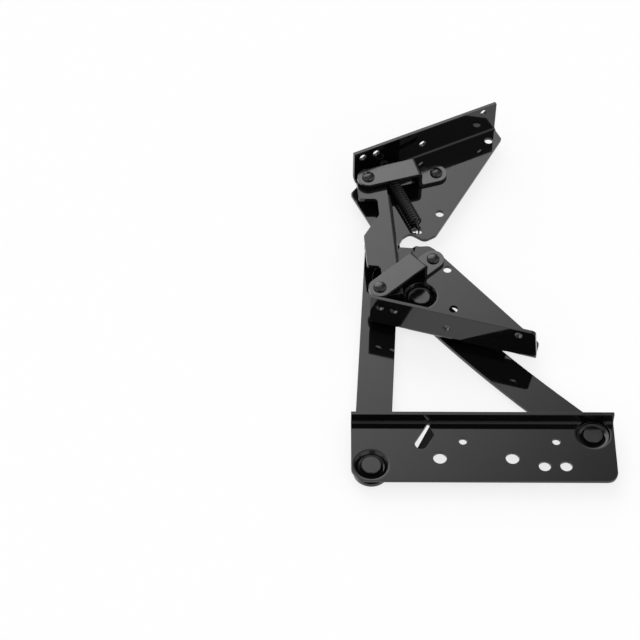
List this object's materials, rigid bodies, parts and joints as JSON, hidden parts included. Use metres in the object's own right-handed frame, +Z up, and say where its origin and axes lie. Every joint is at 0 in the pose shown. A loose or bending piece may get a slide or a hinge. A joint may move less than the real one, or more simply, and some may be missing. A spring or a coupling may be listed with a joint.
{
  "type": "sofa backrest hinge",
  "caption": "Black steel hinge for a sofa backrest: flanged base plate, swinging arms, flanged brackets that fold onto each other and a sprung lock bar under bridge straps",
  "frame": {"origin": "centre of the bottom of the bounding box in the open pose, lying flat on the rivet tails", "axes": "+X along the base plate from the front pivot to the rear pivot, +Y from the base plate towards the brackets, +Z up out of the plates, along every pivot"},
  "size_m": [0.1794, 0.3218, 0.0382],
  "materials": {
    "black_enamel": "glossy black enamel on pressed sheet steel",
    "arm_enamel": "glossy black enamel on flat steel strip",
    "rivet_enamel": "glossy black enamel on steel rivets",
    "spacer_steel": "satin black turned steel",
    "spring_wire": "dark oiled spring wire",
    "washer_nylon": "thin black nylon washers"
  },
  "bodies": {
    "base": {"base_plate": "black_enamel", "front_pivot_rivet": "rivet_enamel", "front_pivot_washer": "washer_nylon", "rear_pivot_rivet": "rivet_enamel", "rear_pivot_washer": "washer_nylon"},
    "front_arm_link": {"front_arm": "arm_enamel", "main_pivot_rivet": "rivet_enamel"},
    "rear_arm_link": {"rear_arm": "arm_enamel"},
    "lower_bracket_set": {"lower_bracket": "black_enamel", "main_pivot_washer": "washer_nylon", "link_pivot_rivet": "rivet_enamel", "link_pivot_washer": "washer_nylon", "lower_bridge_strap": "black_enamel", "lower_strap_rivet": "rivet_enamel", "guide_pin": "rivet_enamel", "guide_sleeve": "spacer_steel", "guide_cap_rivet": "rivet_enamel"},
    "upper_bracket_set": {"upper_bracket": "black_enamel", "upper_bridge_strap": "black_enamel", "upper_strap_rivet": "rivet_enamel", "lock_bar_rivet": "rivet_enamel", "lock_bar_lower_spacer": "spacer_steel", "lock_bar_upper_spacer": "spacer_steel", "lock_spring": "spring_wire"},
    "lock_bar_set": {"lock_bar": "black_enamel", "lock_bar_stud": "rivet_enamel"}
  },
  "joints": [
    {"name": "rear_arm_pivot", "type": "hinge", "parent": "base", "child": "rear_arm_link", "pos_m": [0.07535, -0.12281, 0.0035], "axis": [0, 0, 1], "range_deg": [-28.22, 0]},
    {"name": "front_arm_pivot", "type": "hinge", "parent": "base", "child": "front_arm_link", "pos_m": [-0.07615, -0.14841, 0.0035], "axis": [0, 0, 1], "range_deg": [-12.64, 0]},
    {"name": "main_pivot", "type": "hinge", "parent": "front_arm_link", "child": "lower_bracket_set", "pos_m": [-0.06606, 0.04372, 0.007], "axis": [0, 0, 1], "range_deg": [0, 72.24]},
    {"name": "bracket_fold", "type": "hinge", "parent": "lower_bracket_set", "child": "upper_bracket_set", "pos_m": [-0.06606, 0.04372, 0.0094], "axis": [0, 0, 1], "range_deg": [0, 138.7]},
    {"name": "lock_bar_pivot", "type": "hinge", "parent": "upper_bracket_set", "child": "lock_bar_set", "pos_m": [-0.07599, 0.09517, 0.0195], "axis": [0, 0, 1], "range_deg": [-69.35, 0], "deforming": ["lock_spring"]}
  ],
  "couplings": [
    {"joint": "front_arm_pivot", "follows": "rear_arm_pivot", "ratio": 0.44781},
    {"joint": "main_pivot", "follows": "rear_arm_pivot", "ratio": -2.56},
    {"joint": "lock_bar_pivot", "follows": "bracket_fold", "ratio": -0.5}
  ]
}
